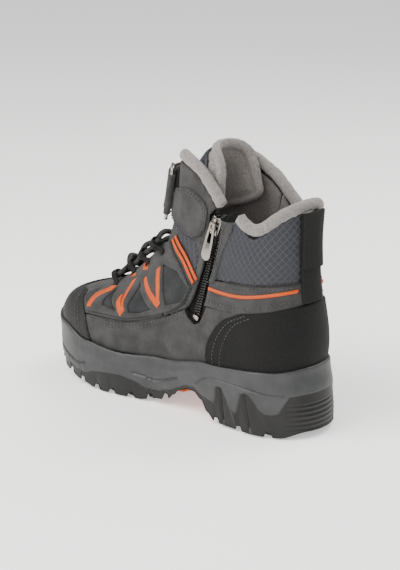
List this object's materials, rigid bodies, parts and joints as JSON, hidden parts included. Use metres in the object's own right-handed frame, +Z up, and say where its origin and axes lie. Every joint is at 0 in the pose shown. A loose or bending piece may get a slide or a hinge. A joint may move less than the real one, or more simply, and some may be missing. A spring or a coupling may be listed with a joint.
{
  "type": "hiking boot",
  "caption": "Ankle-high lined winter hiking boot with a side zip, a hook-and-loop ankle strap, elastic lacing, a padded tongue and a lugged rubber sole; right foot.",
  "frame": {"origin": "under the middle of the boot's bounding box, on the ground it stands on", "axes": "+Y towards the heel, -Y towards the toe, +X towards the inner (medial) side with the zip, +Z up"},
  "size_m": [0.0912, 0.233, 0.186],
  "materials": {
    "nubuck": "matte nubuck",
    "coated_leather": "matte textured",
    "ripstop": "ripstop weave",
    "fleece": "fleece pile",
    "fibreboard": "pressed board",
    "orange_trim": "satin",
    "midsole_rubber": "satin",
    "outsole_rubber": "matte",
    "shank_plastic": "satin",
    "black_webbing": "ribbed",
    "lace": "braided",
    "zip_nylon": "moulded",
    "gunmetal": "polished",
    "steel_ring": "polished"
  },
  "bodies": {
    "boot": {"toe_cap": "coated_leather", "toe_puff": "fibreboard", "heel_counter": "coated_leather", "heel_stiffener": "fibreboard", "vamp": "nubuck", "quarter_medial": "nubuck", "quarter_lateral": "nubuck", "ankle_band_medial": "nubuck", "ankle_band_lateral": "nubuck", "collar_panel_medial": "ripstop", "collar_panel_lateral": "ripstop", "shaft_front_medial": "nubuck", "shaft_front_lateral": "nubuck", "wing_medial": "nubuck", "wing_lateral": "nubuck", "ankle_piping_medial": "orange_trim", "wing_piping_medial": "orange_trim", "ankle_piping_lateral": "orange_trim", "wing_piping_lateral": "orange_trim", "lining_rear": "fleece", "lining_forefoot": "fleece", "lining_front_medial": "fleece", "lining_front_lateral": "fleece", "collar_roll": "fleece", "front_roll": "fleece", "tongue_lower": "nubuck", "midsole": "midsole_rubber", "outsole_forefoot": "outsole_rubber", "outsole_heel": "outsole_rubber", "arch_shank": "shank_plastic", "insole_board": "fibreboard", "insole": "fleece", "lace": "lace", "lace_loop_medial_1": "black_webbing", "lace_loop_medial_2": "black_webbing", "lace_loop_medial_3": "black_webbing", "lace_loop_medial_4": "black_webbing", "lace_loop_lateral_1": "black_webbing", "lace_loop_lateral_2": "black_webbing", "lace_loop_lateral_3": "black_webbing", "lace_loop_lateral_4": "black_webbing", "zip_tape_front": "black_webbing", "zip_teeth_front": "zip_nylon", "zip_tape_rear": "black_webbing", "zip_teeth_rear": "zip_nylon", "zip_stop": "gunmetal", "strap_base": "nubuck", "ring_tab": "nubuck", "backstay_strip": "black_webbing"},
    "zip_slider": {"zip_slider": "gunmetal"},
    "zip_puller": {"zip_puller": "gunmetal"},
    "strap_ring": {"strap_ring": "steel_ring"},
    "strap_flap": {"strap_flap": "nubuck", "strap_hook_pad": "black_webbing"},
    "tongue_top": {"tongue_upper": "fleece"},
    "pull_loop": {"pull_loop": "black_webbing"}
  },
  "joints": [
    {"name": "zip_slide", "type": "slide", "parent": "boot", "child": "zip_slider", "axis": [0.0263, -0.2435, -0.9695], "range_m": [0, 0.056]},
    {"name": "puller_hinge", "type": "hinge", "parent": "zip_slider", "child": "zip_puller", "pos_m": [0.03064, 0.04556, 0.1369], "axis": [-0.0926, -0.9663, 0.2401], "range_deg": [0, 110]},
    {"name": "ring_hinge", "type": "hinge", "parent": "boot", "child": "strap_ring", "pos_m": [0.02424, -0.00027, 0.14737], "axis": [0.0334, 0.2029, 0.9786], "range_deg": [0, 35]},
    {"name": "strap_peel", "type": "hinge", "parent": "boot", "child": "strap_flap", "pos_m": [0.01762, -0.00854, 0.14931], "axis": [0.0334, 0.2029, 0.9786], "range_deg": [0, 100]},
    {"name": "tongue_tilt", "type": "hinge", "parent": "boot", "child": "tongue_top", "pos_m": [0.001, 0.0007, 0.1424], "axis": [1, 0, 0], "range_deg": [0, 11], "stiffness_Nm_per_rad": 0.06},
    {"name": "pull_loop_hinge", "type": "hinge", "parent": "boot", "child": "pull_loop", "pos_m": [0.001, 0.1024, 0.1481], "axis": [1, 0, 0], "range_deg": [0, 70], "stiffness_Nm_per_rad": 0.004}
  ]
}
